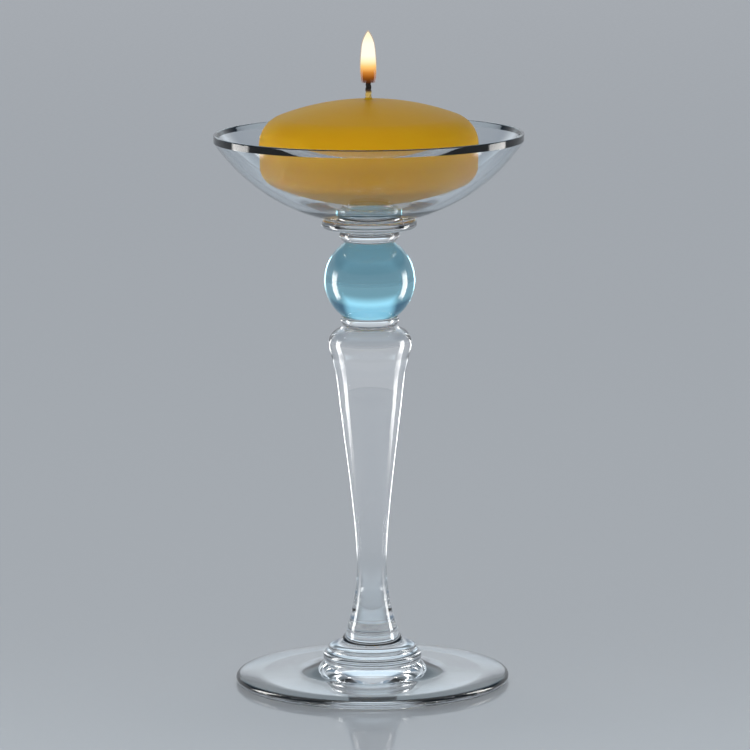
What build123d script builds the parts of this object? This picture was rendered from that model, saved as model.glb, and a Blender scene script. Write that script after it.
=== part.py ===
from build123d import *
import math
import os

# A candle stand in clear glass: a shallow bowl for a floating candle, carried on a turned stem with a round
# foot. Every glass piece is a body of revolution about Z, stacked face to face and fused where two flat round
# faces meet. The candle is a loose puck of wax with its own wick, tin tab and flame, and it lifts straight out.
# The origin is the centre of the foot's rest plane, +Z is up, and all lengths are in millimetres.

# Foot: a disc with a full-round edge, a mound that sweeps up to the hub and a shallow hollow underneath
FOOT_RADIUS = 48.0
FOOT_EDGE_THICKNESS = 3.0
FOOT_MOUND_RADIUS = 27.0
FOOT_MOUND_HEIGHT = 3.9
FOOT_HUB_HEIGHT = 6.9
FOOT_HUB_MARGIN = 0.7
FOOT_REST_WIDTH = 7.5
FOOT_HOLLOW_DEPTH = 1.2

# Foot ring: the lower and wider of the two steps under the stem
RING_RADIUS = 17.3
RING_HEIGHT = 4.1
RING_BASE_INSET = 1.1
RING_TOP_INSET = 1.6

# Stem base: a rounded step that sweeps in to the bottom of the stem
BASE_STEP_RADIUS = 15.4
BASE_STEP_HEIGHT = 1.9
BASE_HEIGHT = 7.6
BASE_NECK_RADIUS = 9.0
BASE_NECK_HEIGHT = 0.7
BASE_SWEEP_SAG = 1.1

# Stem: an inverted baluster, widest at a rounded shoulder near its top
STEM_HEIGHT = 106.8
STEM_FOOT_RADIUS = 8.9
STEM_WAIST_RADIUS = 5.15
STEM_SHOULDER_RADIUS = 14.45
STEM_SHOULDER_ROUND = 5.2
# Height as a share of the stem's height, and radius as a share of the way from the waist to the shoulder
STEM_WAIST_HEIGHT_SHARE = 0.22
STEM_OUTLINE_SHARES = ((0.33, 0.057), (0.46, 0.204), (0.60, 0.394), (0.74, 0.591), (0.83, 0.715), (0.90, 0.885))

# Stem wafer: the cup-shaped disc between the stem's shoulder and the ball
WAFER_HEIGHT = 3.9
WAFER_TOP_RADIUS = 10.1
WAFER_BASE_RADIUS = 7.8
WAFER_EDGE_ROUND = 0.6

# Ball: a solid sphere with a flat ground on each pole
BALL_RADIUS = 15.8
BALL_TOP_FLAT_RADIUS = 8.3
BALL_BASE_FLAT_RADIUS = 9.2

# Ball collar: the bulged ring on top of the ball
COLLAR_HEIGHT = 4.7
COLLAR_RADIUS = 10.4
COLLAR_TOP_RADIUS = 8.9
COLLAR_BASE_RADIUS = 8.2
COLLAR_BULGE_HEIGHT = 2.1

# Bowl wafer: the wide disc that the bowl stands on
BOWL_WAFER_RADIUS = 16.6
BOWL_WAFER_HEIGHT = 3.3
BOWL_WAFER_EDGE_ROUND = 1.5

# Candle: a puck with a domed crown, an upright side below its girth and a shallow domed belly
CANDLE_RADIUS = 38.0
CANDLE_CROWN_RISE = 15.5
CANDLE_SIDE_HEIGHT = 8.3
CANDLE_BELLY_DEPTH = 12.4
CANDLE_CROWN_SHOULDER = 10.5
CANDLE_BELLY_SHOULDER = 5.0
CANDLE_BASE_RADIUS = 9.0

# Bowl: one round sweep of even wall from the foot's edge to the rim, where an upright band thins it to the top.
# The rim stands out from the candle's side by the overhang, and the band starts a little above the girth.
SEAT_GAP = 0.3
FLOOR_THICKNESS = 5.5
FLOOR_CORNER_ROUND = 8.0
BOWL_FOOT_RADIUS = 14.3
BOWL_OUTSIDE_ROUND = 64.5
BOWL_WALL = 2.2
RIM_OVERHANG = 15.8
RIM_ABOVE_GIRTH = 1.2
RIM_BAND_HEIGHT = 2.6
RIM_CROWN = 0.35

# Wick, and the tin tab that anchors it in the underside of the wax
WICK_RADIUS = 1.1
WICK_CLEARANCE = 0.05
WICK_FREE_LENGTH = 8.15
TAB_RADIUS = 7.0
TAB_THICKNESS = 0.3
TAB_NECK_WALL = 0.5
TAB_NECK_HEIGHT = 5.0
TAB_CLEARANCE = 0.1

# Flame: a stand-in body for the lit flame, which wraps the top of the wick
FLAME_HEIGHT = 18.1
FLAME_RADIUS = 2.95
FLAME_GIRTH_HEIGHT = 4.5
FLAME_SHOULDER_RADIUS = 2.4
FLAME_SHOULDER_HEIGHT = 12.8
FLAME_LIFT = 5.85
FLAME_CLEARANCE = 0.1
FLAME_FOOT_WIDTH = 1.3
FLAME_TIP_RADIUS = 0.15


def at(radius, height):
    """A point of a turned outline, from its radius and its height."""
    return (radius, 0, height)


def turned(*edges):
    """The solid swept by a closed outline that is turned once about Z."""
    return revolve(make_face(edges), Axis.Z)


def closing(first, last):
    """The two straight edges and the axis that close an outline between its lowest and highest points."""
    return (
        Line(at(0, first[2]), first),
        Line(last, at(0, last[2])),
        Line(at(0, last[2]), at(0, first[2])),
    )


def sagging_arc(start, end, sag):
    """An arc from start to end whose middle lies below the straight line between them by the sag."""
    middle = at((start[0] + end[0]) / 2, (start[2] + end[2]) / 2 - sag)
    return ThreePointArc(start, middle, end)


def foot(rest):
    """The foot disc, from its rest plane up to the hub that the ring stands on."""
    edge_round = FOOT_EDGE_THICKNESS / 2
    edge_centre = FOOT_RADIUS - edge_round
    hub = at(RING_RADIUS - RING_BASE_INSET + FOOT_HUB_MARGIN, rest + FOOT_HUB_HEIGHT)
    mound = at(FOOT_MOUND_RADIUS, rest + FOOT_MOUND_HEIGHT)
    edge_top = at(edge_centre, rest + FOOT_EDGE_THICKNESS)
    edge_low = at(edge_centre, rest)
    hollow_edge = at(edge_centre - FOOT_REST_WIDTH, rest)
    hollow_top = at(0, rest + FOOT_HOLLOW_DEPTH)
    return turned(
        Line(at(0, hub[2]), hub),
        TangentArc(mound, hub, tangent=(mound[0] - edge_top[0], 0, mound[2] - edge_top[2])),
        Line(mound, edge_top),
        ThreePointArc(edge_top, at(FOOT_RADIUS, rest + edge_round), edge_low),
        Line(edge_low, hollow_edge),
        TangentArc(hollow_top, hollow_edge, tangent=(1, 0, 0)),
        Line(hollow_top, at(0, hub[2])),
    )


def foot_ring(base):
    """The lower step, a flat disc with a bulging edge."""
    low = at(RING_RADIUS - RING_BASE_INSET, base)
    high = at(RING_RADIUS - RING_TOP_INSET, base + RING_HEIGHT)
    bulge = at(RING_RADIUS, base + RING_HEIGHT / 2)
    return turned(ThreePointArc(low, bulge, high), *closing(low, high))


def stem_base(base):
    """The upper step with the sweep that carries the stem."""
    step_round = BASE_STEP_HEIGHT / 2
    low = at(BASE_STEP_RADIUS - step_round, base)
    step_top = at(BASE_STEP_RADIUS - step_round, base + BASE_STEP_HEIGHT)
    neck = at(BASE_NECK_RADIUS, base + BASE_HEIGHT - BASE_NECK_HEIGHT)
    high = at(BASE_NECK_RADIUS, base + BASE_HEIGHT)
    return turned(
        ThreePointArc(low, at(BASE_STEP_RADIUS, base + step_round), step_top),
        sagging_arc(step_top, neck, BASE_SWEEP_SAG),
        Line(neck, high),
        *closing(low, high),
    )


def stem(base):
    """The baluster: a flared bottom, a waist, a long taper out to the shoulder and a quarter round over it."""
    spread = STEM_SHOULDER_RADIUS - STEM_WAIST_RADIUS
    top = base + STEM_HEIGHT
    low = at(STEM_FOOT_RADIUS, base)
    waist = at(STEM_WAIST_RADIUS, base + STEM_HEIGHT * STEM_WAIST_HEIGHT_SHARE)
    taper = [
        at(STEM_WAIST_RADIUS + spread * radius_share, base + STEM_HEIGHT * height_share)
        for height_share, radius_share in STEM_OUTLINE_SHARES
    ]
    shoulder = at(STEM_SHOULDER_RADIUS, top - STEM_SHOULDER_ROUND)
    high = at(STEM_SHOULDER_RADIUS - STEM_SHOULDER_ROUND, top)
    return turned(
        TangentArc(waist, low, tangent=(0, 0, -1)),
        Spline(waist, *taper, shoulder, tangents=((0, 0, 1), (0, 0, 1))),
        TangentArc(shoulder, high, tangent=(0, 0, 1)),
        *closing(low, high),
    )


def stem_wafer(base):
    """A disc that widens upwards like a cup, with a rounded upper edge."""
    low = at(WAFER_BASE_RADIUS, base)
    edge_low = at(WAFER_TOP_RADIUS, base + WAFER_HEIGHT - WAFER_EDGE_ROUND)
    high = at(WAFER_TOP_RADIUS - WAFER_EDGE_ROUND, base + WAFER_HEIGHT)
    return turned(
        TangentArc(edge_low, low, tangent=(0, 0, -1)),
        TangentArc(edge_low, high, tangent=(0, 0, 1)),
        *closing(low, high),
    )


def ball_knop(base, centre, top):
    """The solid ball, from the flat it stands on to the flat that carries the collar."""
    low = at(BALL_BASE_FLAT_RADIUS, base)
    high = at(BALL_TOP_FLAT_RADIUS, top)
    return turned(ThreePointArc(low, at(BALL_RADIUS, centre), high), *closing(low, high))


def ball_collar(base):
    """The bulged ring between the ball and the bowl wafer."""
    low = at(COLLAR_BASE_RADIUS, base)
    bulge = at(COLLAR_RADIUS, base + COLLAR_BULGE_HEIGHT)
    high = at(COLLAR_TOP_RADIUS, base + COLLAR_HEIGHT)
    return turned(ThreePointArc(low, bulge, high), *closing(low, high))


def bowl_wafer(base):
    """The wide disc under the bowl, with both of its edges rounded."""
    disc = Cylinder(BOWL_WAFER_RADIUS, BOWL_WAFER_HEIGHT, align=(Align.CENTER, Align.CENTER, Align.MIN))
    return Pos(0, 0, base) * fillet(disc.edges().filter_by(GeomType.CIRCLE), BOWL_WAFER_EDGE_ROUND)


def dome_radius(rise, shoulder):
    """The radius of the dome that rises this far from the side's end and runs on smoothly from the shoulder."""
    inset = CANDLE_RADIUS - shoulder
    return (inset**2 + rise**2 - shoulder**2) / (2 * (rise - shoulder))


def shoulder_end(rise, shoulder):
    """Radius, and height away from the side's end, of the point where the shoulder runs into the dome."""
    dome = dome_radius(rise, shoulder)
    inset = CANDLE_RADIUS - shoulder
    grow = dome / (dome - shoulder)
    return inset * grow, rise - dome + (dome - rise) * grow


def belly_height():
    """How far the wax's flat base lies below its upright side."""
    dome = dome_radius(CANDLE_BELLY_DEPTH, CANDLE_BELLY_SHOULDER)
    return CANDLE_BELLY_DEPTH - dome + math.sqrt(dome**2 - CANDLE_BASE_RADIUS**2)


def sweep_centre(foot_edge, rim_foot):
    """Radius and height of the centre of the bowl's outside, which runs from the foot's edge to the rim's foot."""
    across = rim_foot[0] - foot_edge[0]
    along = rim_foot[2] - foot_edge[2]
    reach = math.hypot(across, along)
    away = math.sqrt(BOWL_OUTSIDE_ROUND**2 - (reach / 2) ** 2)
    centre_x = (foot_edge[0] + rim_foot[0]) / 2 - away * along / reach
    centre_z = (foot_edge[2] + rim_foot[2]) / 2 + away * across / reach
    return centre_x, centre_z


def rim_top(girth):
    """Height of the top of the bowl's rim."""
    return girth + RIM_ABOVE_GIRTH + RIM_BAND_HEIGHT


def bowl(base, floor, girth):
    """The bowl: a flat floor, the sweep of the wall, and a rim that is upright outside and slopes on inside."""
    foot_edge = at(BOWL_FOOT_RADIUS, base)
    rim_foot = at(CANDLE_RADIUS + RIM_OVERHANG, girth + RIM_ABOVE_GIRTH)
    centre_x, centre_z = sweep_centre(foot_edge, rim_foot)
    inside_round = BOWL_OUTSIDE_ROUND - BOWL_WALL
    crown_foot = rim_top(girth) - RIM_CROWN

    def inside_at_height(height):
        return at(centre_x + math.sqrt(inside_round**2 - (centre_z - height) ** 2), height)

    def sweep_at_radius(sweep, radius):
        return at(radius, centre_z - math.sqrt(sweep**2 - (radius - centre_x) ** 2))

    floor_edge = inside_at_height(floor)
    rim_inside = inside_at_height(crown_foot)
    rim_outside = at(rim_foot[0], crown_foot)
    rim_middle = at((rim_inside[0] + rim_outside[0]) / 2, rim_top(girth))
    inside_middle = sweep_at_radius(inside_round, (floor_edge[0] + rim_inside[0]) / 2)
    outside_middle = sweep_at_radius(BOWL_OUTSIDE_ROUND, (foot_edge[0] + rim_foot[0]) / 2)
    wall = make_face(
        (
            Line(at(0, floor), floor_edge),
            ThreePointArc(floor_edge, inside_middle, rim_inside),
            ThreePointArc(rim_inside, rim_middle, rim_outside),
            Line(rim_outside, rim_foot),
            ThreePointArc(rim_foot, outside_middle, foot_edge),
            Line(foot_edge, at(0, base)),
            Line(at(0, base), at(0, floor)),
        )
    )
    floor_corner = wall.vertices().sort_by_distance(floor_edge)[0]
    return revolve(fillet(floor_corner, FLOOR_CORNER_ROUND), Axis.Z)


def candle_wax(base, girth):
    """The wax puck, whose side is upright below the girth, with its wick hole and the pocket for the tab."""
    crown_end = shoulder_end(CANDLE_CROWN_RISE, CANDLE_CROWN_SHOULDER)
    belly_end = shoulder_end(CANDLE_BELLY_DEPTH, CANDLE_BELLY_SHOULDER)
    crown = at(crown_end[0], girth + crown_end[1])
    side_top = at(CANDLE_RADIUS, girth)
    side_foot = at(CANDLE_RADIUS, girth - CANDLE_SIDE_HEIGHT)
    belly = at(belly_end[0], side_foot[2] - belly_end[1])
    dome = dome_radius(CANDLE_BELLY_DEPTH, CANDLE_BELLY_SHOULDER)
    dome_centre = side_foot[2] - CANDLE_BELLY_DEPTH + dome
    base_edge = at(CANDLE_BASE_RADIUS, base)
    middle_radius = (base_edge[0] + belly[0]) / 2
    belly_middle = at(middle_radius, dome_centre - math.sqrt(dome**2 - middle_radius**2))
    top = at(0, girth + CANDLE_CROWN_RISE)
    puck = turned(
        TangentArc(top, crown, tangent=(1, 0, 0)),
        TangentArc(side_top, crown, tangent=(0, 0, 1)),
        Line(side_top, side_foot),
        TangentArc(side_foot, belly, tangent=(0, 0, -1)),
        ThreePointArc(belly, belly_middle, base_edge),
        Line(base_edge, at(0, base)),
        Line(at(0, base), top),
    )
    wick_hole = upright(WICK_RADIUS + WICK_CLEARANCE, base, top[2] - base)
    neck_hole = upright(tab_neck_radius() + TAB_CLEARANCE, base, TAB_THICKNESS + TAB_NECK_HEIGHT + TAB_CLEARANCE)
    tab_pocket = upright(TAB_RADIUS + TAB_CLEARANCE, base, TAB_THICKNESS + TAB_CLEARANCE)
    return puck - wick_hole - neck_hole - tab_pocket


def upright(radius, base, height):
    """A round bar that stands on the given height."""
    return Pos(0, 0, base) * Cylinder(radius, height, align=(Align.CENTER, Align.CENTER, Align.MIN))


def tab_neck_radius():
    """Outside radius of the tab's neck, which is crimped round the wick."""
    return WICK_RADIUS + WICK_CLEARANCE + TAB_NECK_WALL


def wick_tab(base):
    """The tin tab: a thin disc with a neck that grips the foot of the wick."""
    disc = upright(TAB_RADIUS, base, TAB_THICKNESS)
    neck = upright(tab_neck_radius(), base, TAB_THICKNESS + TAB_NECK_HEIGHT)
    return disc + neck - upright(WICK_RADIUS + WICK_CLEARANCE, base, TAB_THICKNESS + TAB_NECK_HEIGHT)


def wick(base, tip):
    """The wick, from the tab's underside to a rounded tip above the wax."""
    bar = upright(WICK_RADIUS, base, tip - base)
    tip_edge = bar.edges().filter_by(GeomType.CIRCLE).sort_by(Axis.Z)[-1]
    return fillet(tip_edge, WICK_RADIUS / 2)


def flame(base, wick_tip):
    """A slim flame with nearly upright sides and a point, with a socket for the tip of the wick."""
    socket_radius = WICK_RADIUS + FLAME_CLEARANCE
    socket_top = wick_tip + FLAME_CLEARANCE
    top = base + FLAME_HEIGHT
    tip = at(FLAME_TIP_RADIUS, top)
    girth = at(FLAME_RADIUS, base + FLAME_GIRTH_HEIGHT)
    shoulder = at(FLAME_SHOULDER_RADIUS, base + FLAME_SHOULDER_HEIGHT)
    foot_edge = at(socket_radius + FLAME_FOOT_WIDTH, base)
    side = TangentArc(girth, shoulder, tangent=(0, 0, 1))
    return turned(
        side,
        TangentArc(shoulder, tip, tangent=side % 1),
        TangentArc(girth, foot_edge, tangent=(0, 0, -1)),
        Line(foot_edge, at(socket_radius, base)),
        Line(at(socket_radius, base), at(socket_radius, socket_top)),
        Line(at(socket_radius, socket_top), at(0, socket_top)),
        Line(at(0, socket_top), at(0, top)),
        Line(at(0, top), tip),
    )


def build():
    """Every node of the stand by name, each in its place on the one axis."""
    ring_at = FOOT_HUB_HEIGHT
    base_at = ring_at + RING_HEIGHT
    stem_at = base_at + BASE_HEIGHT
    wafer_at = stem_at + STEM_HEIGHT
    ball_at = wafer_at + WAFER_HEIGHT
    ball_centre = ball_at + math.sqrt(BALL_RADIUS**2 - BALL_BASE_FLAT_RADIUS**2)
    collar_at = ball_centre + math.sqrt(BALL_RADIUS**2 - BALL_TOP_FLAT_RADIUS**2)
    bowl_wafer_at = collar_at + COLLAR_HEIGHT
    bowl_at = bowl_wafer_at + BOWL_WAFER_HEIGHT
    floor_at = bowl_at + FLOOR_THICKNESS
    candle_at = floor_at + SEAT_GAP
    girth_at = candle_at + belly_height() + CANDLE_SIDE_HEIGHT
    crown_at = girth_at + CANDLE_CROWN_RISE
    wick_tip = crown_at + WICK_FREE_LENGTH
    flame_at = crown_at + FLAME_LIFT
    places = {
        "bowl floor": floor_at,
        "candle base": candle_at,
        "candle girth": girth_at,
        "rim top": rim_top(girth_at),
        "wax top": crown_at,
        "flame tip": flame_at + FLAME_HEIGHT,
    }
    for name, height in places.items():
        print(f"{name}: {height:.3f} mm above the rest plane")
    return {
        "foot": foot(0),
        "foot_ring": foot_ring(ring_at),
        "stem_base": stem_base(base_at),
        "stem": stem(stem_at),
        "stem_wafer": stem_wafer(wafer_at),
        "ball_knop": ball_knop(ball_at, ball_centre, collar_at),
        "ball_collar": ball_collar(collar_at),
        "bowl_wafer": bowl_wafer(bowl_wafer_at),
        "bowl": bowl(bowl_at, floor_at, girth_at),
        "candle_wax": candle_wax(candle_at, girth_at),
        "wick": wick(candle_at, wick_tip),
        "wick_tab": wick_tab(candle_at),
        "flame": flame(flame_at, wick_tip),
    }


os.makedirs("parts", exist_ok=True)
for node, solid in build().items():
    export_step(solid, f"parts/{node}.step")
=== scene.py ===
"""A clear glass stand with a loose amber floating candle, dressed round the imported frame.

The glass is a stack of turned pieces that are fused where two flat round faces meet. Each sub-assembly is a
class: it keeps its sizes as fields, reads its place from the frame, and turns its pieces about Z.
"""

import logging
import math
from dataclasses import dataclass
from enum import Enum, IntEnum

import bmesh
import bpy
from bmesh.types import BMesh, BMFace, BMVert
from bpy.types import ID, AreaLight, Collection, ColorRamp, Material, Node, NodeSocket, NodeTree, Object
from mathutils import Matrix, Vector
from mathutils.geometry import interpolate_bezier


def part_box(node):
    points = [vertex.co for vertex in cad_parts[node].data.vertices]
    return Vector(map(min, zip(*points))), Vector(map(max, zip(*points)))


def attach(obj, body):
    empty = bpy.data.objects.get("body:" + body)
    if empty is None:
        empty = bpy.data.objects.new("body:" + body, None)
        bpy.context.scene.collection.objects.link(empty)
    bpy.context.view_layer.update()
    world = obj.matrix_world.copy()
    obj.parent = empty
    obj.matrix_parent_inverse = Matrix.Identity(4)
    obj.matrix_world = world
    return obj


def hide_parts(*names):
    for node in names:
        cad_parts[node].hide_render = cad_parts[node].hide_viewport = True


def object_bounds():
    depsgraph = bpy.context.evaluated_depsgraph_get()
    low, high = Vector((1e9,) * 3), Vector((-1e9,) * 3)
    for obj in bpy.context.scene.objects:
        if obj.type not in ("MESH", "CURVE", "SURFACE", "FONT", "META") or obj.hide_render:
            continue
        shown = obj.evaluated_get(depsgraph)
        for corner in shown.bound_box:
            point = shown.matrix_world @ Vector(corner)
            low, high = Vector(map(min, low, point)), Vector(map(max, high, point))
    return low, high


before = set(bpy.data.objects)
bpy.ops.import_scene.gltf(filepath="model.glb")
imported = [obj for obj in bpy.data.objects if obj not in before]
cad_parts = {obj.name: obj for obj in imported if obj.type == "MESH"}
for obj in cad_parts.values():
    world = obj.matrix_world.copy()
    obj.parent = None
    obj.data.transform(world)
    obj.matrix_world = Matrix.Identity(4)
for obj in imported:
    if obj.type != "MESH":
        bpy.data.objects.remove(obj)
CAD_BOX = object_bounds()
LOG = logging.getLogger("candle_stand")

MM = 0.001
FULL_TURN = 2 * math.pi
UP = Vector((0, 0, 1))
ACROSS = Vector((0, 1, 0))

# A pair is most often a point's radius and level, and colours are linear
Pair = tuple[float, float]
Colour = tuple[float, float, float]

# Segments round the axis
AROUND = 192
AROUND_SMALL = 48
# Points this close are joined, and faces this near a seat's level and this flat lie in it
WELD = 1e-7
SEAT_REACH = 1e-6
SEAT_FLATNESS = 0.99
CREASE_ANGLE = math.radians(28)
# Where the darkest and the palest patches of a fine grain lie
GRAIN_DARK = 0.3
GRAIN_PALE = 0.7


class Steps(IntEnum):
    """Edges along one arc of an outline, each named after an arc of its size."""

    BEAD = 5
    EDGE = 8
    ROUND = 10
    BEND = 12
    STEP = 14
    SWEEP = 16
    BULGE = 18
    SHOULDER = 20
    WAIST = 24
    DISH = 36
    CROWN = 40
    WALL = 56
    BALL = 64


class Body(Enum):
    """The two rigid bodies of the stand."""

    HOLDER = "holder"
    CANDLE = "candle"


class Group(Enum):
    """Groups of pieces that lamps are linked to."""

    GLASS = "glass_pieces"
    SOLID = "solid_pieces"

    def collection(self) -> Collection:
        """The group's collection, which is made on its first use."""
        return bpy.data.collections.get(self.value) or bpy.data.collections.new(self.value)


@dataclass(frozen=True)
class Span:
    """What the frame says of one node: its lowest and highest level and its widest radius, in metres."""

    base: float
    top: float
    radius: float

    @classmethod
    def of(cls, node: str) -> "Span":
        """Reads a node's box.

        Args:
            node: The CAD node's name.

        Returns:
            The node's levels and radius.
        """
        low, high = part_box(node)
        return cls(low.z, high.z, high.x)

    @property
    def height(self) -> float:
        """The distance from the base to the top."""
        return self.top - self.base


class Outline:
    """Half of a turned piece's section, drawn stroke by stroke in the XZ plane and then spun about Z."""

    def __init__(self, radius: float, height: float) -> None:
        """Starts the outline at a point.

        Args:
            radius: Distance of the first point from the axis.
            height: Level of the first point.
        """
        self.mesh = bmesh.new()
        self.start = self.mesh.verts.new((radius, 0, height))
        self.tip = self.start

    def line(self, radius: float, height: float) -> "Outline":
        """Draws a straight edge.

        Args:
            radius: Distance of its end from the axis.
            height: Level of its end.

        Returns:
            The outline.
        """
        made = bmesh.ops.extrude_vert_indiv(self.mesh, verts=[self.tip])
        self.tip = made["verts"][0]
        self.tip.co = (radius, 0, height)
        return self

    def round(self, centre: Pair, end: Pair, clockwise: bool, steps: int = Steps.BEND) -> "Outline":
        """Draws an arc about a centre by spinning the tip.

        Args:
            centre: Radius and level of the arc's centre.
            end: Radius and level of the arc's end.
            clockwise: True if the arc turns to the right, seen with +X to the right and +Z up.
            steps: Edges along the arc.

        Returns:
            The outline.
        """
        from_angle = math.atan2(self.tip.co.z - centre[1], self.tip.co.x - centre[0])
        to_angle = math.atan2(end[1] - centre[1], end[0] - centre[0])
        sweep = (from_angle - to_angle) % FULL_TURN
        if not clockwise:
            sweep -= FULL_TURN
        made = bmesh.ops.spin(
            self.mesh,
            geom=[self.tip],
            cent=(centre[0], 0, centre[1]),
            axis=ACROSS,
            angle=sweep,
            steps=steps,
            use_duplicate=False,
        )
        self.tip = made["geom_last"][0]
        self.tip.co = (end[0], 0, end[1])
        return self

    def through(self, middle: Pair, end: Pair, steps: int = Steps.BEND) -> "Outline":
        """Draws the arc that passes a middle point on its way to its end.

        Args:
            middle: Radius and level of a point on the arc.
            end: Radius and level of the arc's end.
            steps: Edges along the arc.

        Returns:
            The outline.
        """
        start = (self.tip.co.x, self.tip.co.z)
        to_middle = Vector((middle[0] - start[0], middle[1] - start[1]))
        to_end = Vector((end[0] - start[0], end[1] - start[1]))
        twice_area = to_middle.cross(to_end)
        pull = to_middle.length_squared * to_end.orthogonal() - to_end.length_squared * to_middle.orthogonal()
        centre = Vector(start) - pull / (2 * twice_area)
        return self.round(tuple(centre), end, twice_area < 0, steps)

    def leaving(self, heading: Pair, end: Pair, steps: int = Steps.BEND) -> "Outline":
        """Draws the arc that leaves the tip in a given direction.

        Args:
            heading: Direction of the arc at the tip.
            end: Radius and level of the arc's end.
            steps: Edges along the arc.

        Returns:
            The outline.
        """
        start = Vector((self.tip.co.x, self.tip.co.z))
        chord = Vector(end) - start
        aside = Vector(heading).normalized().orthogonal()
        centre = start + aside * chord.length_squared / (2 * chord.dot(aside))
        return self.round(tuple(centre), end, Vector(heading).cross(chord) < 0, steps)

    def arriving(self, heading: Pair, end: Pair, steps: int = Steps.BEND) -> "Outline":
        """Draws the arc that reaches its end in a given direction.

        Args:
            heading: Direction of the arc at its end.
            end: Radius and level of the arc's end.
            steps: Edges along the arc.

        Returns:
            The outline.
        """
        back = Vector((self.tip.co.x, self.tip.co.z)) - Vector(end)
        aside = Vector(heading).normalized().orthogonal()
        centre = Vector(end) + aside * back.length_squared / (2 * back.dot(aside))
        return self.round(tuple(centre), end, back.cross(Vector(heading)) > 0, steps)

    def flow(self, stations: list[Pair], steps: int = Steps.BEND) -> "Outline":
        """Draws a smooth curve that rises through stations and is upright at both of its ends.

        Args:
            stations: Radius and level of each point after the tip.
            steps: Edges between two stations.

        Returns:
            The outline.
        """
        points = [Vector((self.tip.co.x, 0, self.tip.co.z))] + [Vector((r, 0, z)) for r, z in stations]
        lean = [0.0] * len(points)
        for i in range(1, len(points) - 1):
            before, after = points[i] - points[i - 1], points[i + 1] - points[i]
            share = after.z / (before.z + after.z)
            lean[i] = share * before.x / before.z + (1 - share) * after.x / after.z
        for i in range(len(points) - 1):
            reach = (points[i + 1].z - points[i].z) / 3
            out = points[i] + Vector((lean[i] * reach, 0, reach))
            back = points[i + 1] - Vector((lean[i + 1] * reach, 0, reach))
            for point in interpolate_bezier(points[i], out, back, points[i + 1], steps + 1)[1:]:
                self.line(point.x, point.z)
        return self

    def close(self) -> "Outline":
        """Joins the tip to the start, for a section that keeps clear of the axis."""
        self.mesh.edges.new((self.tip, self.start))
        return self

    def turn(self, around: int = AROUND) -> BMesh:
        """Spins the outline once about Z and welds its seam and its poles.

        Args:
            around: Segments round the axis.

        Returns:
            The closed mesh, with its faces pointing out.
        """
        bmesh.ops.spin(
            self.mesh,
            geom=self.mesh.verts[:] + self.mesh.edges[:],
            cent=(0, 0, 0),
            axis=UP,
            angle=FULL_TURN,
            steps=around,
            use_merge=True,
            use_duplicate=False,
        )
        bmesh.ops.remove_doubles(self.mesh, verts=self.mesh.verts, dist=WELD)
        bmesh.ops.recalc_face_normals(self.mesh, faces=self.mesh.faces)
        return self.mesh


@dataclass(frozen=True)
class Seat:
    """A flat round face where two glass pieces are fused."""

    height: float
    radius: float

    def holds(self, face: BMFace) -> bool:
        """True if the face lies in the fused joint."""
        middle = face.calc_center_median()
        level = abs(middle.z - self.height) < SEAT_REACH
        flat = abs(face.normal.z) > SEAT_FLATNESS
        return level and flat and math.hypot(middle.x, middle.y) < self.radius


def add_object(name: str, data: ID) -> Object:
    """Makes an object of a mesh, lamp or camera and puts it in the scene.

    Args:
        name: The object's name.
        data: What it shows.

    Returns:
        The object.
    """
    made = bpy.data.objects.new(name, data)
    bpy.context.scene.collection.objects.link(made)
    return made


def finish_piece(
    name: str,
    mesh: BMesh,
    node: str,
    body: Body,
    materials: list[Material],
    group: Group = Group.SOLID,
) -> Object:
    """Makes a shaded object of a mesh, which stands for a CAD node and rides on its body.

    Args:
        name: The object's name.
        mesh: The finished mesh, in the frame's place.
        node: The CAD node that it stands for.
        body: The body that it moves with.
        materials: The object's materials, in the order of its faces' indices.
        group: The group that lamps know the piece by.

    Returns:
        The object.
    """
    data = bpy.data.meshes.new(name)
    mesh.to_mesh(data)
    mesh.free()
    data.shade_smooth()
    data.set_sharp_from_angle(angle=CREASE_ANGLE)
    piece = add_object(name, data)
    group.collection().objects.link(piece)
    for material in materials:
        data.materials.append(material)
    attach(piece, body.value)
    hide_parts(node)
    LOG.info("%s rides on %s: %d faces", name, body.value, len(data.polygons))
    return piece


def grey(value: float) -> Colour:
    """The grey that has one value in all its channels."""
    return (value, value, value)


def fill_ramp(ramp: ColorRamp, stops: list[tuple[float, Colour]]) -> None:
    """Sets the stops of a colour ramp.

    Args:
        ramp: The ramp, as new.
        stops: Places along the ramp and their colours.
    """
    while len(ramp.elements) < len(stops):
        ramp.elements.new(1.0)
    for element, (place, colour) in zip(ramp.elements, stops):
        element.position = place
        element.color = (*colour, 1.0)


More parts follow.
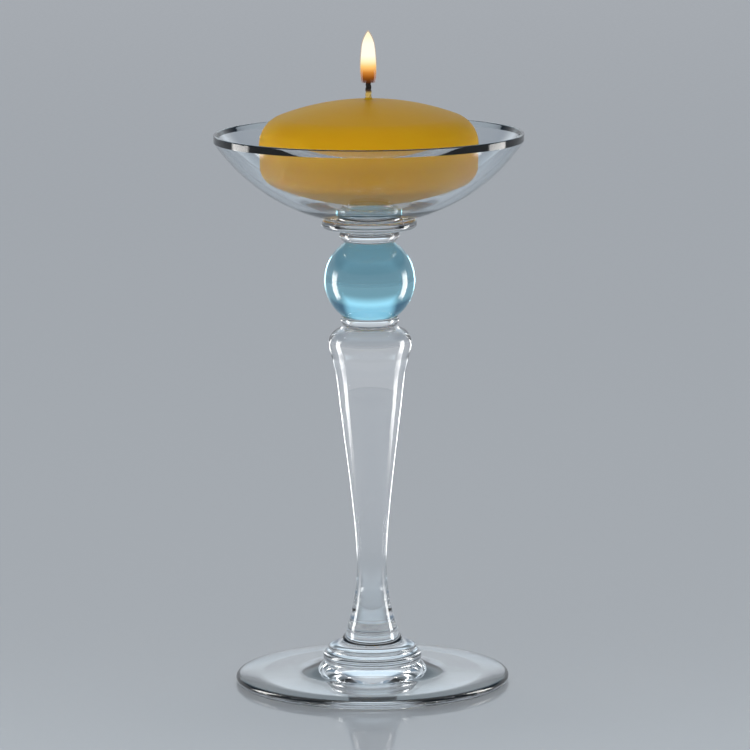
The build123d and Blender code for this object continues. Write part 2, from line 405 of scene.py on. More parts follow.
class Paint:
    """A small helper that lays out one material's nodes."""

    def __init__(self, name: str) -> None:
        """Starts a material with a Principled BSDF.

        Args:
            name: The material's name.
        """
        self.material = bpy.data.materials.new(name)
        self.material.use_nodes = True
        self.nodes = self.material.node_tree.nodes
        self.links = self.material.node_tree.links
        self.shader = self.nodes["Principled BSDF"]
        self.place = self.nodes.new("ShaderNodeTexCoord")

    def set(self, **values: object) -> "Paint":
        """Sets constant sockets of the shader; an underscore in a name stands for a space.

        Args:
            values: Socket names and their values.

        Returns:
            The paint, so that calls can be chained.
        """
        for name, value in values.items():
            self.shader.inputs[name.replace("_", " ")].default_value = value
        return self

    def effect(self, group: NodeTree, **values: float) -> Node:
        """Places a shared effect that reads object coordinates.

        Args:
            group: The effect's node group.
            values: Its inputs.

        Returns:
            The group node.
        """
        node = self.nodes.new("ShaderNodeGroup")
        node.node_tree = group
        self.links.new(self.place.outputs["Object"], node.inputs["Vector"])
        for name, value in values.items():
            node.inputs[name].default_value = value
        return node

    def feed(self, output: NodeSocket, name: str) -> None:
        """Links an output to one of the shader's inputs."""
        self.links.new(output, self.shader.inputs[name])

    def ramp(self, source: NodeSocket, stops: list[tuple[float, Colour]]) -> NodeSocket:
        """Turns a value into a colour.

        Args:
            source: The value.
            stops: Places along the ramp and their colours.

        Returns:
            The colour output.
        """
        node = self.nodes.new("ShaderNodeValToRGB")
        fill_ramp(node.color_ramp, stops)
        self.links.new(source, node.inputs["Fac"])
        return node.outputs["Color"]

    def level(self, low: float, high: float) -> NodeSocket:
        """The share of the way from one level to another, from 0 to 1.

        Args:
            low: Level where the share is 0.
            high: Level where the share is 1.

        Returns:
            The value output.
        """
        split = self.nodes.new("ShaderNodeSeparateXYZ")
        share = self.nodes.new("ShaderNodeMapRange")
        share.inputs["From Min"].default_value = low
        share.inputs["From Max"].default_value = high
        self.links.new(self.place.outputs["Object"], split.inputs["Vector"])
        self.links.new(split.outputs["Z"], share.inputs["Value"])
        return share.outputs["Result"]

    def bump(self, height: NodeSocket, strength: float, distance: float) -> None:
        """Feeds a height to the shader's normal through a Bump node.

        Args:
            height: The height output.
            strength: The bump's strength.
            distance: The bump's depth in metres.
        """
        node = self.nodes.new("ShaderNodeBump")
        node.inputs["Strength"].default_value = strength
        node.inputs["Distance"].default_value = distance
        self.links.new(height, node.inputs["Height"])
        self.feed(node.outputs["Normal"], "Normal")


def effect_group(name: str, outputs: dict[str, str]) -> tuple[NodeTree, Node, Node]:
    """Starts a shared effect that takes a vector and a scale.

    Args:
        name: The group's name.
        outputs: Output names and their socket types.

    Returns:
        The group, its input node and its output node.
    """
    group = bpy.data.node_groups.new(name, "ShaderNodeTree")
    group.interface.new_socket("Vector", in_out="INPUT", socket_type="NodeSocketVector")
    group.interface.new_socket("Scale", in_out="INPUT", socket_type="NodeSocketFloat")
    for output, kind in outputs.items():
        group.interface.new_socket(output, in_out="OUTPUT", socket_type=kind)
    return group, group.nodes.new("NodeGroupInput"), group.nodes.new("NodeGroupOutput")


def mottle_effect() -> NodeTree:
    """Cloudy patches with a fine grain in them, as a value from 0 to 1.

    Returns:
        The node group.
    """
    group, given, result = effect_group("mottle", {"Cloud": "NodeSocketFloat", "Grain": "NodeSocketFloat"})
    for output, detail, finer in (("Cloud", 2.0, 1.0), ("Grain", 6.0, 9.0)):
        scale = group.nodes.new("ShaderNodeMath")
        scale.operation = "MULTIPLY"
        scale.inputs[1].default_value = finer
        noise = group.nodes.new("ShaderNodeTexNoise")
        noise.inputs["Detail"].default_value = detail
        group.links.new(given.outputs["Scale"], scale.inputs[0])
        group.links.new(given.outputs["Vector"], noise.inputs["Vector"])
        group.links.new(scale.outputs["Value"], noise.inputs["Scale"])
        group.links.new(noise.outputs["Fac"], result.inputs[output])
    return group


@dataclass(frozen=True)
class GlassFinish:
    """Polished glass with the faint ripple that fire polishing leaves."""

    name: str
    tint: Colour
    index: float = 1.52
    roughness: float = 0.0
    ripple_scale: float = 55.0
    ripple_depth: float = 0.02 * MM

    def make(self, mottle: NodeTree) -> Material:
        """Builds the material.

        Args:
            mottle: The shared mottle effect, which gives the ripple.

        Returns:
            The material.
        """
        paint = Paint(self.name).set(
            Base_Color=(*self.tint, 1.0), Roughness=self.roughness, IOR=self.index, Transmission_Weight=1.0
        )
        ripple = paint.effect(mottle, Scale=self.ripple_scale)
        paint.bump(ripple.outputs["Cloud"], 1.0, self.ripple_depth)
        return paint.material


@dataclass(frozen=True)
class FusedJointFinish:
    """The inside of a hot joint, where glass runs on into glass and there is nothing to see."""

    name: str = "fused_joint"

    def make(self) -> Material:
        """Builds the material.

        Returns:
            The material.
        """
        return Paint(self.name).set(Alpha=0.0).material


@dataclass(frozen=True)
class WaxFinish:
    """Amber candle wax: soft, a little translucent, with cloudy patches, and with painted light and shade by
    height.
    """

    name: str = "amber_wax"
    # The first and third colours are painted light, lifting the underside and the foot of the crown; the
    # second is the wax's plain tone and the fourth the tone of its patches.
    painted_lit_underside: Colour = (0.78, 0.40, 0.006)
    warm: Colour = (0.58, 0.29, 0.006)
    bright: Colour = (0.74, 0.39, 0.008)
    pale: Colour = (0.66, 0.37, 0.010)
    patch_share: float = 0.3
    cloud_scale: float = 38.0
    grain_depth: float = 0.05 * MM

    def make(self, mottle: NodeTree, base: float, top: float) -> Material:
        """Builds the material.

        Args:
            mottle: The shared mottle effect.
            base: Level of the underside of the wax.
            top: Level of the crown.

        Returns:
            The material.
        """
        paint = Paint(self.name).set(
            Roughness=0.5,
            IOR=1.43,
            Specular_IOR_Level=0.12,
            Subsurface_Weight=0.35,
            Subsurface_Radius=(1.0, 0.45, 0.12),
            Subsurface_Scale=6 * MM,
        )
        cloud = paint.effect(mottle, Scale=self.cloud_scale)
        # Painted light and shade: lighter at the underside and just above the girth, darker along the side
        # and over the crown's top.
        stops = [(0.0, self.painted_lit_underside), (0.42, self.warm), (0.60, self.bright), (0.85, self.warm)]
        body = paint.ramp(paint.level(base, top), stops)
        patches = paint.ramp(cloud.outputs["Cloud"], [(0.35, self.warm), (0.7, self.pale)])
        mix = paint.nodes.new("ShaderNodeMix")
        mix.data_type = "RGBA"
        mix.inputs["Factor"].default_value = self.patch_share
        paint.links.new(body, mix.inputs["A"])
        paint.links.new(patches, mix.inputs["B"])
        paint.feed(mix.outputs["Result"], "Base Color")
        paint.bump(cloud.outputs["Grain"], 1.0, self.grain_depth)
        return paint.material


@dataclass(frozen=True)
class WickFinish:
    """Braided cotton: waxed and pale near the candle, charred black towards the flame."""

    name: str = "braided_cotton"
    waxed: Colour = (0.72, 0.52, 0.16)
    scorched: Colour = (0.09, 0.045, 0.02)
    charred: Colour = (0.012, 0.01, 0.009)
    grain_scale: float = 900.0
    grain_strength: float = 0.8
    grain_depth: float = 0.1 * MM

    def make(self, mottle: NodeTree, wax_top: float, tip: float) -> Material:
        """Builds the material.

        Args:
            mottle: The shared mottle effect.
            wax_top: Level where the wick leaves the wax.
            tip: Level of the wick's tip.

        Returns:
            The material.
        """
        paint = Paint(self.name).set(Roughness=0.75, Sheen_Weight=0.2)
        fibres = paint.effect(mottle, Scale=self.grain_scale)
        stops = [(0.0, self.waxed), (0.28, self.waxed), (0.37, self.scorched), (0.45, self.charred)]
        paint.feed(paint.ramp(paint.level(wax_top, tip), stops), "Base Color")
        paint.bump(fibres.outputs["Grain"], self.grain_strength, self.grain_depth)
        return paint.material


@dataclass(frozen=True)
class TinFinish:
    """Thin tinned sheet with rolling marks."""

    name: str = "tinned_sheet"
    colour: Colour = (0.66, 0.67, 0.68)
    polished: float = 0.28
    dull: float = 0.45
    mark_scale: float = 260.0
    mark_strength: float = 0.5
    mark_depth: float = 0.02 * MM

    def make(self, mottle: NodeTree) -> Material:
        """Builds the material.

        Args:
            mottle: The shared mottle effect.

        Returns:
            The material.
        """
        paint = Paint(self.name).set(Base_Color=(*self.colour, 1.0), Metallic=1.0)
        marks = paint.effect(mottle, Scale=self.mark_scale)
        stops = [(GRAIN_DARK, grey(self.polished)), (GRAIN_PALE, grey(self.dull))]
        paint.feed(paint.ramp(marks.outputs["Grain"], stops), "Roughness")
        paint.bump(marks.outputs["Grain"], self.mark_strength, self.mark_depth)
        return paint.material


@dataclass(frozen=True)
class FlameFinish:
    """One shell of glowing gas, coloured by its height above the flame's foot."""

    name: str
    glow: tuple[tuple[float, Colour], ...]
    cover: tuple[Pair, ...]
    strength: float = 1.0

    def make(self, base: float, top: float) -> Material:
        """Builds the material.

        Args:
            base: Level of the flame's foot.
            top: Level of its point.

        Returns:
            The material.
        """
        paint = Paint(self.name).set(Roughness=1.0, Specular_IOR_Level=0.0, Emission_Strength=self.strength)
        paint.set(Base_Color=(0.0, 0.0, 0.0, 1.0))
        share = paint.level(base, top)
        paint.feed(paint.ramp(share, list(self.glow)), "Emission Color")
        paint.feed(paint.ramp(share, [(place, grey(alpha)) for place, alpha in self.cover]), "Alpha")
        return paint.material


@dataclass
class GlassWorks:
    """Dresses the glass pieces, which all share one way of being finished."""

    clear: Material
    aqua: Material
    joint: Material

    def piece(self, outline: Outline, node: str, seats: list[Seat], aqua: bool = False) -> Object:
        """Turns an outline into a finished glass piece.

        Args:
            outline: The drawn half section.
            node: The CAD node that the piece stands for.
            seats: The piece's fused joints.
            aqua: True for the tinted glass.

        Returns:
            The object.
        """
        mesh = outline.turn()
        for face in mesh.faces:
            if any(seat.holds(face) for seat in seats):
                face.material_index = 1
        glass = self.aqua if aqua else self.clear
        return finish_piece(f"{node}_glass", mesh, node, Body.HOLDER, [glass, self.joint], Group.GLASS)


@dataclass
class Foot:
    """The foot disc with the two steps that carry the stem."""

    edge_round: float = 1.5 * MM
    mound_radius: float = 27.0 * MM
    mound_height: float = 3.9 * MM
    hub_margin: float = 0.7 * MM
    rest_width: float = 7.5 * MM
    hollow_depth: float = 1.2 * MM
    ring_base_inset: float = 1.1 * MM
    ring_top_inset: float = 1.6 * MM
    step_height: float = 1.9 * MM
    neck_radius: float = 9.0 * MM
    neck_height: float = 0.7 * MM
    sweep_sag: float = 1.1 * MM

    def build(self, works: GlassWorks) -> Seat:
        """Builds the foot, its ring and the stem's base.

        Args:
            works: The glass finishes.

        Returns:
            The face that the stem stands on.
        """
        self.disc(works)
        self.ring(works)
        return self.base(works)

    def ring_seat(self) -> Seat:
        """The joint between the foot's hub and the ring."""
        ring = Span.of("foot_ring")
        return Seat(ring.base, ring.radius - self.ring_base_inset)

    def base_seat(self) -> Seat:
        """The joint between the ring and the stem's base."""
        base = Span.of("stem_base")
        return Seat(base.base, base.radius - self.step_height / 2)

    def disc(self, works: GlassWorks) -> None:
        """Builds the foot disc, from its hollow underside to its hub."""
        span = Span.of("foot")
        seat = self.ring_seat()
        edge = span.radius - self.edge_round
        rest = edge - self.rest_width
        hub = seat.radius + self.hub_margin
        slope = (self.mound_radius - edge, self.mound_height - 2 * self.edge_round)
        outline = Outline(0, span.base + self.hollow_depth)
        outline.leaving((1, 0), (rest, span.base), Steps.DISH)
        outline.line(edge, span.base)
        edge_top = (edge, span.base + 2 * self.edge_round)
        outline.round((edge, span.base + self.edge_round), edge_top, False, Steps.SHOULDER)
        outline.line(self.mound_radius, span.base + self.mound_height)
        outline.leaving(slope, (hub, span.top), Steps.SWEEP)
        outline.line(seat.radius, span.top).line(0, span.top)
        works.piece(outline, "foot", [seat])

    def ring(self, works: GlassWorks) -> None:
        """Builds the wide step with the bulging edge."""
        span = Span.of("foot_ring")
        low, high = self.ring_seat(), self.base_seat()
        bulge = (span.radius, span.base + span.height / 2)
        outline = Outline(0, span.base).line(low.radius, span.base)
        outline.through(bulge, (span.radius - self.ring_top_inset, span.top), Steps.BULGE)
        outline.line(high.radius, span.top).line(0, span.top)
        works.piece(outline, "foot_ring", [low, high])

    def base(self, works: GlassWorks) -> Seat:
        """Builds the rounded step and the sweep up to the stem, and returns the stem's seat."""
        span = Span.of("stem_base")
        low = self.base_seat()
        stem_foot = Seat(span.top, Stem.foot_radius)
        step_round = self.step_height / 2
        step_top = (low.radius, span.base + self.step_height)
        neck = (self.neck_radius, span.top - self.neck_height)
        sag_point = ((step_top[0] + neck[0]) / 2, (step_top[1] + neck[1]) / 2 - self.sweep_sag)
        outline = Outline(0, span.base).line(low.radius, span.base)
        outline.round((low.radius, span.base + step_round), step_top, False, Steps.STEP)
        outline.through(sag_point, neck, Steps.SWEEP)
        outline.line(self.neck_radius, span.top).line(stem_foot.radius, span.top).line(0, span.top)
        works.piece(outline, "stem_base", [low, stem_foot])
        return stem_foot


@dataclass
class Stem:
    """The baluster and the cup-shaped wafer on its shoulder."""

    foot_radius: float = 8.9 * MM
    waist_radius: float = 5.15 * MM
    shoulder_round: float = 5.2 * MM
    waist_height_share: float = 0.22
    outline_shares: tuple[Pair, ...] = (
        (0.33, 0.057),
        (0.46, 0.204),
        (0.60, 0.394),
        (0.74, 0.591),
        (0.83, 0.715),
        (0.90, 0.885),
    )
    wafer_base_radius: float = 7.8 * MM
    wafer_edge_round: float = 0.6 * MM

    def build(self, works: GlassWorks, seat: Seat) -> Seat:
        """Builds the stem and its wafer.

        Args:
            works: The glass finishes.
            seat: The face that the stem stands on.

        Returns:
            The face that the ball stands on.
        """
        span = Span.of("stem")
        spread = span.radius - self.waist_radius
        wafer_seat = Seat(span.top, self.wafer_base_radius)
        waist = (self.waist_radius, span.base + span.height * self.waist_height_share)
        taper = [
            (self.waist_radius + spread * radius_share, span.base + span.height * height_share)
            for height_share, radius_share in self.outline_shares
        ]
        shoulder = (span.radius, span.top - self.shoulder_round)
        flat = span.radius - self.shoulder_round
        outline = Outline(0, span.base).line(self.foot_radius, span.base)
        outline.arriving((0, 1), waist, Steps.WAIST)
        outline.flow([*taper, shoulder], Steps.ROUND)
        outline.leaving((0, 1), (flat, span.top), Steps.SHOULDER)
        outline.line(wafer_seat.radius, span.top).line(0, span.top)
        works.piece(outline, "stem", [seat, wafer_seat])
        return self.wafer(works, wafer_seat)

    def wafer(self, works: GlassWorks, seat: Seat) -> Seat:
        """Builds the cup-shaped wafer and returns the ball's seat."""
        span = Span.of("stem_wafer")
        ball_seat = Seat(span.top, Knop.base_flat_radius)
        edge_low = (span.radius, span.top - self.wafer_edge_round)
        flat = span.radius - self.wafer_edge_round
        outline = Outline(0, span.base).line(seat.radius, span.base)
        outline.arriving((0, 1), edge_low)
        outline.leaving((0, 1), (flat, span.top), Steps.EDGE)
        outline.line(ball_seat.radius, span.top).line(0, span.top)
        works.piece(outline, "stem_wafer", [seat, ball_seat])
        return ball_seat


@dataclass
class Knop:
    """The ball, the bulged collar on it and the wide wafer under the bowl."""

    base_flat_radius: float = 9.2 * MM
    top_flat_radius: float = 8.3 * MM
    collar_top_radius: float = 8.9 * MM
    collar_base_radius: float = 8.2 * MM
    collar_bulge_radius: float = 10.4 * MM
    collar_bulge_height: float = 2.1 * MM
    wafer_edge_round: float = 1.5 * MM

    def build(self, works: GlassWorks, seat: Seat) -> Seat:
        """Builds the ball, the collar and the bowl's wafer.

        Args:
            works: The glass finishes.
            seat: The face that the ball stands on.

        Returns:
            The face that the bowl stands on.
        """
        collar_seat = self.ball(works, seat)
        wafer_seat = self.collar(works, collar_seat)
        return self.wafer(works, wafer_seat)

    def ball(self, works: GlassWorks, seat: Seat) -> Seat:
        """Builds the ball and returns the collar's seat."""
        span = Span.of("ball_knop")
        centre = span.base + math.sqrt(span.radius**2 - self.base_flat_radius**2)
        top = Seat(span.top, self.collar_base_radius)
        outline = Outline(0, span.base).line(self.base_flat_radius, span.base)
        outline.round((0, centre), (self.top_flat_radius, span.top), False, Steps.BALL)
        outline.line(top.radius, span.top).line(0, span.top)
        works.piece(outline, "ball_knop", [seat, top], aqua=True)
        return top

    def collar(self, works: GlassWorks, seat: Seat) -> Seat:
        """Builds the bulged collar and returns the seat of the bowl's wafer."""
        span = Span.of("ball_collar")
        top = Seat(span.top, self.collar_top_radius)
        bulge = (self.collar_bulge_radius, span.base + self.collar_bulge_height)
        outline = Outline(0, span.base).line(seat.radius, span.base)
        outline.through(bulge, (top.radius, span.top), Steps.SHOULDER).line(0, span.top)
        works.piece(outline, "ball_collar", [seat, top])
        return top

    def wafer(self, works: GlassWorks, seat: Seat) -> Seat:
        """Builds the wide wafer and returns the bowl's seat."""
        span = Span.of("bowl_wafer")
        flat = span.radius - self.wafer_edge_round
        top = Seat(span.top, Bowl.foot_radius)
        outline = Outline(0, span.base).line(seat.radius, span.base).line(flat, span.base)
        outline.leaving((1, 0), (span.radius, span.base + self.wafer_edge_round), Steps.ROUND)
        outline.line(span.radius, span.top - self.wafer_edge_round)
        outline.leaving((0, 1), (flat, span.top), Steps.ROUND)
        outline.line(top.radius, span.top).line(0, span.top)
        works.piece(outline, "bowl_wafer", [seat, top])
        return top


@dataclass
class Bowl:
    """The shallow bowl: flat floor, swept wall, and a rim that is upright outside and slopes on inside."""

    floor_thickness: float = 5.5 * MM
    corner_round: float = 8.0 * MM
    foot_radius: float = 14.3 * MM
    outside_round: float = 64.5 * MM
    wall: float = 2.2 * MM
    band_height: float = 2.6 * MM
    rim_crown: float = 0.35 * MM

    def sweep_centre(self, foot_edge: Vector, rim_foot: Vector) -> Vector:
        """Centre of the outside's sweep, which runs from the foot's edge to the foot of the rim's band.

        Args:
            foot_edge: Radius and level where the sweep leaves the wafer.
            rim_foot: Radius and level where the upright band begins.

        Returns:
            Radius and level of the centre.
        """
        way = rim_foot - foot_edge
        away = math.sqrt(self.outside_round**2 - way.length_squared / 4)
        return (foot_edge + rim_foot) / 2 + Vector((-way.y, way.x)).normalized() * away

    def build(self, works: GlassWorks, seat: Seat) -> None:
        """Builds the bowl.

        Args:
            works: The glass finishes.
            seat: The face that the bowl stands on.
        """
        span = Span.of("bowl")
        floor = span.base + self.floor_thickness
        rim_foot = (span.radius, span.top - self.band_height)
        centre = self.sweep_centre(Vector((self.foot_radius, span.base)), Vector(rim_foot))
        inside_round = self.outside_round - self.wall
        crown_foot = span.top - self.rim_crown
        rim_inside = centre.x + math.sqrt(inside_round**2 - (centre.y - crown_foot) ** 2)
        rim_middle = (rim_inside + span.radius) / 2
        corner_reach = inside_round - self.corner_round
        corner_level = floor + self.corner_round
        corner_r = centre.x + math.sqrt(corner_reach**2 - (centre.y - corner_level) ** 2)
        corner_end = centre + (Vector((corner_r, corner_level)) - centre) * inside_round / corner_reach
        outline = Outline(0, floor).line(corner_r, floor)
        outline.round((corner_r, corner_level), tuple(corner_end), False, Steps.ROUND)
        outline.round(tuple(centre), (rim_inside, crown_foot), False, Steps.WALL)
        outline.through((rim_middle, span.top), (span.radius, crown_foot), Steps.SWEEP)
        outline.line(*rim_foot)
        outline.round(tuple(centre), (self.foot_radius, span.base), True, Steps.WALL)
        outline.line(0, span.base)
        works.piece(outline, "bowl", [seat])


@dataclass
class Candle:
    """The wax puck, its wick and the tin tab under it."""

    crown_rise: float = 15.5 * MM
    side_height: float = 8.3 * MM
    belly_depth: float = 12.4 * MM
    crown_shoulder: float = 10.5 * MM
    belly_shoulder: float = 5.0 * MM
    base_radius: float = 9.0 * MM
    tab_radius: float = 7.0 * MM
    tab_thickness: float = 0.3 * MM
    tab_neck_radius: float = 1.65 * MM
    tab_neck_height: float = 5.0 * MM
    tab_clearance: float = 0.1 * MM
    wick_clearance: float = 0.05 * MM
    meniscus_radius: float = 2.2 * MM
    meniscus_height: float = 0.7 * MM
    strand_share: float = 0.56
    strands: int = 3
    strand_sides: int = 12
    steps_per_turn: int = 20
    lay_length: float = 5.5 * MM
    tip_share: float = 0.45

    def __post_init__(self) -> None:
        """Reads the candle's place and width from the frame."""
        self.wax = Span.of("candle_wax")
        self.cord = Span.of("wick")
        self.radius = self.wax.radius
        self.girth = self.wax.top - self.crown_rise
        self.side_foot = self.girth - self.side_height

    def dome(self, rise: float, shoulder: float) -> tuple[float, float, float]:
        """The dome that ends this far from the upright side and runs on smoothly from the shoulder.

        Args:
            rise: The dome's height above the side's end.
            shoulder: The round at the side's end.

        Returns:
            The dome's radius, and the radius and height of the point where the shoulder meets it.
        """
        inset = self.radius - shoulder
        dome = (inset**2 + rise**2 - shoulder**2) / (2 * (rise - shoulder))
        grow = dome / (dome - shoulder)
        return dome, inset * grow, rise - dome + (dome - rise) * grow

    def build(self, mottle: NodeTree) -> None:
        """Builds the wax, the wick and the tab.

        Args:
            mottle: The shared mottle effect.
        """
        self.puck(WaxFinish().make(mottle, self.wax.base, self.wax.top))
        self.braid(WickFinish().make(mottle, self.wax.top, self.cord.top))
        self.tab(TinFinish().make(mottle))

    def puck(self, wax: Material) -> None:
        """Builds the wax puck, with its pocket underneath and a small lift of wax round the wick."""
        bore = self.cord.radius + self.wick_clearance
        neck = self.tab_neck_radius + self.tab_clearance
        pocket = self.tab_radius + self.tab_clearance
        base = self.wax.base
        pocket_top = base + self.tab_thickness + self.tab_clearance
        neck_top = pocket_top + self.tab_neck_height
        belly, belly_r, belly_h = self.dome(self.belly_depth, self.belly_shoulder)
        crown, crown_r, crown_h = self.dome(self.crown_rise, self.crown_shoulder)
        belly_centre = self.side_foot - self.belly_depth + belly
        crown_centre = self.wax.top - crown
        meniscus_foot = (self.meniscus_radius, crown_centre + math.sqrt(crown**2 - self.meniscus_radius**2))
        belly_corner = (self.radius - self.belly_shoulder, self.side_foot)
        crown_corner = (self.radius - self.crown_shoulder, self.girth)
        outline = Outline(bore, neck_top).line(neck, neck_top).line(neck, pocket_top)
        outline.line(pocket, pocket_top).line(pocket, base).line(self.base_radius, base)
        outline.round((0, belly_centre), (belly_r, self.side_foot - belly_h), False, Steps.DISH)
        outline.round(belly_corner, (self.radius, self.side_foot), False, Steps.WAIST)
        outline.line(self.radius, self.girth)
        outline.round(crown_corner, (crown_r, self.girth + crown_h), False, Steps.WAIST)
        outline.round((0, crown_centre), meniscus_foot, False, Steps.CROWN)
        outline.leaving((-1, 0), (bore, self.wax.top + self.meniscus_height), Steps.ROUND)
        outline.close()
        finish_piece("candle_puck", outline.turn(), "candle_wax", Body.CANDLE, [wax])

    def braid(self, cotton: Material) -> None:
        """Builds the wick as strands that are laid round each other."""
        strand = self.cord.radius * self.strand_share
        lay = self.cord.radius - strand
        turns = self.cord.height / self.lay_length
        steps = round(turns * self.steps_per_turn)
        tilt = math.atan2(FULL_TURN * lay, self.lay_length)
        mesh = bmesh.new()
        for number in range(self.strands):
            made = bmesh.ops.create_circle(mesh, segments=self.strand_sides, radius=strand)
            ring = made["verts"]
            bmesh.ops.rotate(mesh, verts=ring, matrix=Matrix.Rotation(-tilt, 3, "X"))
            bmesh.ops.translate(mesh, verts=ring, vec=(lay, 0, self.cord.base))
            start = Matrix.Rotation(FULL_TURN * number / self.strands, 3, "Z")
            bmesh.ops.rotate(mesh, verts=ring, matrix=start)
            edges = list(dict.fromkeys(edge for vert in ring for edge in vert.link_edges))
            spun = bmesh.ops.spin(
                mesh,
                geom=ring + edges,
                cent=(0, 0, 0),
                axis=UP,
                dvec=(0, 0, self.cord.height / steps),
                angle=FULL_TURN * turns,
                steps=steps,
                use_duplicate=False,
            )
            last = [item for item in spun["geom_last"] if isinstance(item, BMVert)]
            bmesh.ops.contextual_create(mesh, geom=edges)
            end = dict.fromkeys(edge for vert in last for edge in vert.link_edges if edge.is_boundary)
            bmesh.ops.contextual_create(mesh, geom=list(end))
        self.gather_tip(mesh)
        low = min(vert.co.z for vert in mesh.verts)
        high = max(vert.co.z for vert in mesh.verts)
        squeeze = self.cord.height / (high - low)
        bmesh.ops.translate(mesh, verts=mesh.verts, vec=(0, 0, -low))
        bmesh.ops.scale(mesh, verts=mesh.verts, vec=(1, 1, squeeze))
        bmesh.ops.translate(mesh, verts=mesh.verts, vec=(0, 0, self.cord.base))
        bmesh.ops.recalc_face_normals(mesh, faces=mesh.faces)
        finish_piece("wick_braid", mesh, "wick", Body.CANDLE, [cotton])

    def gather_tip(self, mesh: BMesh) -> None:
        """Draws the strands together over the last stretch of the wick."""
        for vert in mesh.verts:
            share = (vert.co.z - (self.cord.top - self.lay_length)) / self.lay_length
            keep = 1 - self.tip_share * max(0.0, min(1.0, share)) ** 2
            vert.co.x *= keep
            vert.co.y *= keep

    def tab(self, tin: Material) -> None:
        """Builds the tin disc with its rolled edge and the neck that grips the wick."""
        bore = self.cord.radius + self.wick_clearance
        base = self.wax.base
        plate = base + self.tab_thickness
        edge = self.tab_radius - self.tab_thickness / 2
        neck = self.tab_neck_radius
        outline = Outline(bore, base).line(edge, base)
        outline.leaving((1, 0), (edge, plate), Steps.EDGE)
        outline.line(neck + self.tab_thickness, plate)
        outline.leaving((-1, 0), (neck, plate + self.tab_thickness), Steps.BEAD)
        outline.line(neck, plate + self.tab_neck_height)
        outline.line(bore, plate + self.tab_neck_height)
        outline.close()
        mesh = outline.turn(AROUND_SMALL * 2)
        finish_piece("wick_tab_tin", mesh, "wick_tab", Body.CANDLE, [tin])


@dataclass(frozen=True)
class FlameShell:
    """One of the flame's nested shells, as shares of the flame's width and height."""

    name: str
    width_share: float
    height_share: float
    finish: FlameFinish


@dataclass
class Flame:
    """The lit flame: a dark hollow round the wick, a bright mantle over it and a thin orange veil outside."""

    girth_height: float = 4.5 * MM
    shoulder_radius: float = 2.4 * MM
    shoulder_height: float = 12.8 * MM
    foot_radius: float = 2.5 * MM
    tip_radius: float = 0.15 * MM

    def shells(self) -> list[FlameShell]:
        """The shells from the hollow outwards.

        Returns:
            Each shell with its size and finish.
        """
        soot, ember, orange = (0.012, 0.006, 0.008), (0.10, 0.022, 0.002), (0.45, 0.12, 0.008)
        amber, gold = (0.75, 0.30, 0.05), (1.0, 0.58, 0.18)
        cream, white = (1.0, 0.88, 0.55), (1.0, 0.98, 0.86)
        hollow = ((0.0, soot), (0.09, ember), (0.20, orange), (0.29, gold), (0.37, cream))
        mantle_foot = ((0.0, ember), (0.12, orange), (0.22, amber), (0.32, gold), (0.41, cream))
        mantle = (*mantle_foot, (0.52, white), (0.75, white), (1.0, cream))
        veil = ((0.0, orange), (0.30, gold), (1.0, gold))
        thin_foot, full_foot = ((0.0, 0.20), (0.20, 0.50), (0.36, 1.0)), ((0.0, 0.35), (0.08, 1.0))
        return [
            FlameShell("hollow", 0.68, 0.44, FlameFinish("flame_hollow", hollow, full_foot)),
            FlameShell("mantle", 0.91, 0.97, FlameFinish("flame_mantle", mantle, thin_foot, 1.15)),
            FlameShell("veil", 1.0, 1.0, FlameFinish("flame_veil", veil, ((0.0, 0.06), (0.4, 0.14)))),
        ]

    def build(self) -> None:
        """Builds the shells."""
        span = Span.of("flame")
        for shell in self.shells():
            wide, tall = shell.width_share, shell.height_share
            outline = Outline(0, span.base).line(self.foot_radius * wide, span.base)
            outline.arriving((0, 1), (span.radius * wide, span.base + self.girth_height * tall))
            shoulder = (self.shoulder_radius * wide, span.base + self.shoulder_height * tall)
            chord = Vector(shoulder) - Vector((outline.tip.co.x, outline.tip.co.z))
            lean = Vector((0, 1)).reflect(chord.normalized().orthogonal())
            point = span.base + span.height * tall
            outline.leaving((0, 1), shoulder, Steps.SHOULDER)
            outline.leaving(tuple(lean), (self.tip_radius * wide, point), Steps.SHOULDER)
            outline.line(0, point)
            material = shell.finish.make(span.base, span.top)
            mesh = outline.turn(AROUND_SMALL)
            finish_piece(f"flame_{shell.name}", mesh, "flame", Body.CANDLE, [material])


class Role(Enum):
    """What a lamp is for: lighting the surfaces, or drawing the bright lines and patches in the glass."""

    LIGHT = "light"
    GLINT = "glint"
    PANEL = "panel"


@dataclass(frozen=True)
class Lamp:
    """A soft rectangular lamp: its role, place, size in metres, power in watts and colour."""

    name: str
    role: Role
    place: tuple[float, float, float]
    size: Pair
    power: float
    colour: Colour


